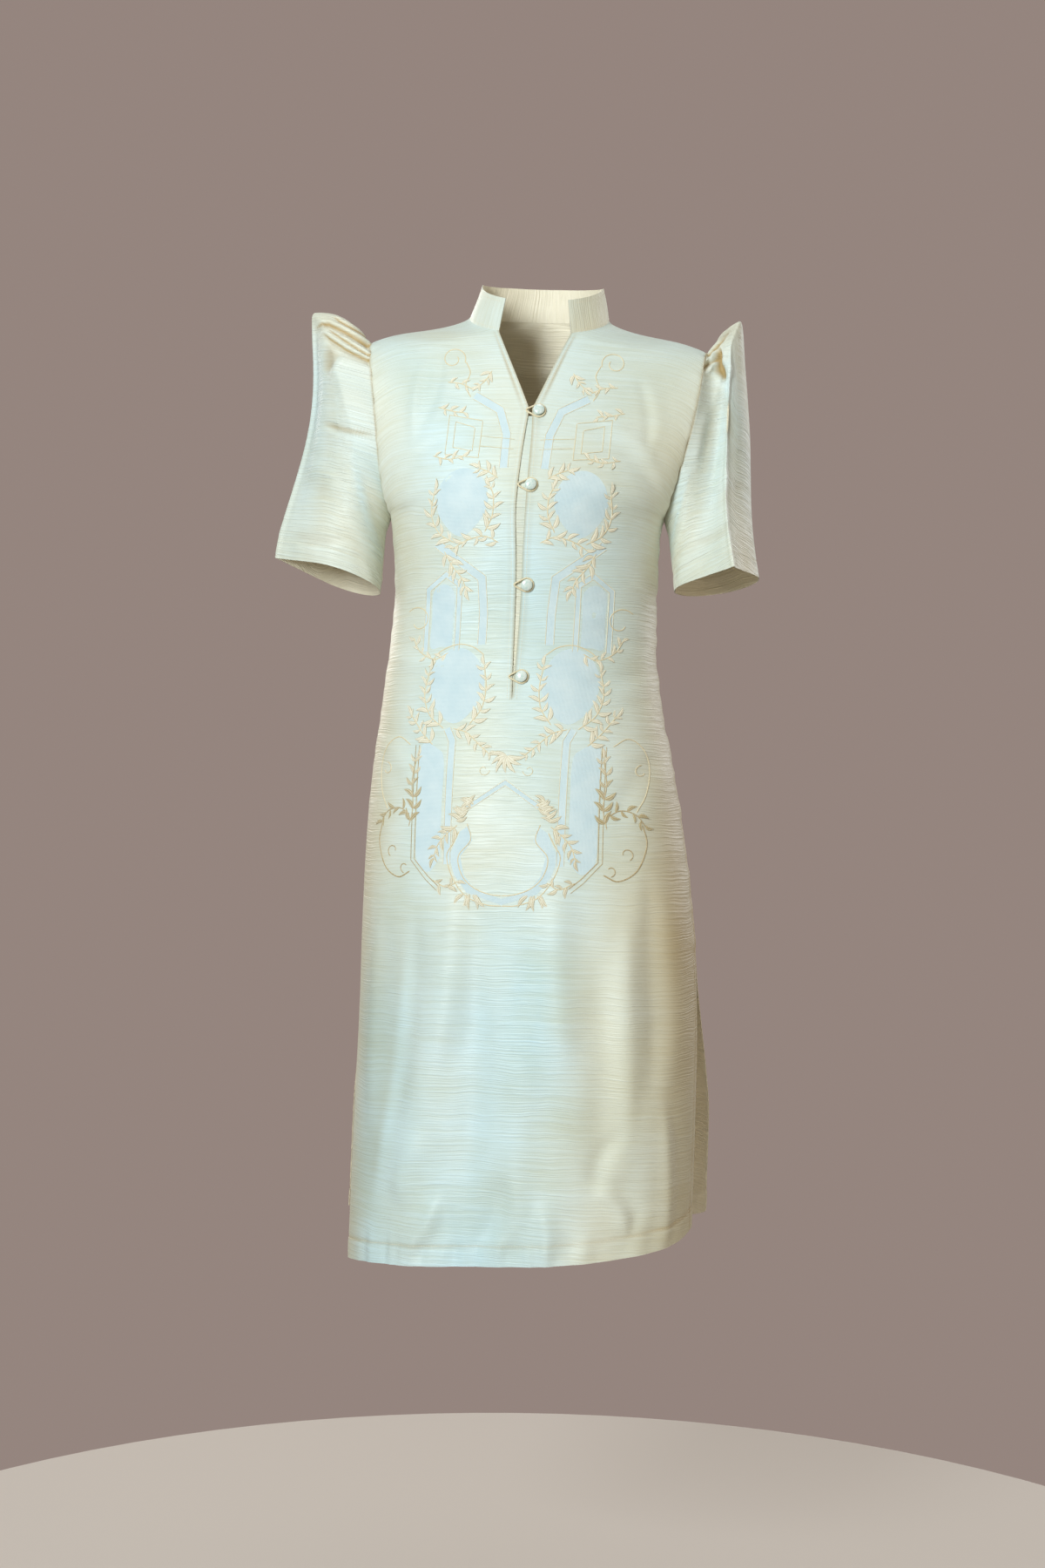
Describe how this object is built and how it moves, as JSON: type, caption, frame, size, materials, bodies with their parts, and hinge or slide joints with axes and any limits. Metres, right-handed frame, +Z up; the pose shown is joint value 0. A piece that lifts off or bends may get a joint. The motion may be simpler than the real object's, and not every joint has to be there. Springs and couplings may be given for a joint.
{
  "type": "filipiniana dress",
  "caption": "Knee-length straight dress with peaked pleated short sleeves, open stand collar, V neck, buttoned half placket and side slits.",
  "frame": {"origin": "midway between the high points of the shoulders, at the level where the wearer's shoulders carry the dress", "axes": "+Z up, the front faces -Y, +X is the wearer's left"},
  "size_m": [0.4918, 0.2358, 1.0004],
  "materials": {
    "silk_front": "slubbed silk sheen",
    "silk_back": "slubbed silk sheen",
    "silk_collar": "slubbed silk sheen",
    "silk_sleeve": "slubbed silk sheen",
    "silk_underlap": "slubbed silk sheen",
    "pearl": "pearl gloss",
    "loop_cord": "satin cord"
  },
  "bodies": {
    "root": {"front_panel": "silk_front", "back_panel": "silk_back", "stand_collar": "silk_collar", "sleeve_wearer_right": "silk_sleeve", "sleeve_wearer_left": "silk_sleeve", "placket_underlap": "silk_underlap", "button_1": "pearl", "button_2": "pearl", "button_3": "pearl", "button_4": "pearl", "loop_1": "loop_cord", "loop_2": "loop_cord", "loop_3": "loop_cord", "loop_4": "loop_cord"}
  },
  "joints": []
}
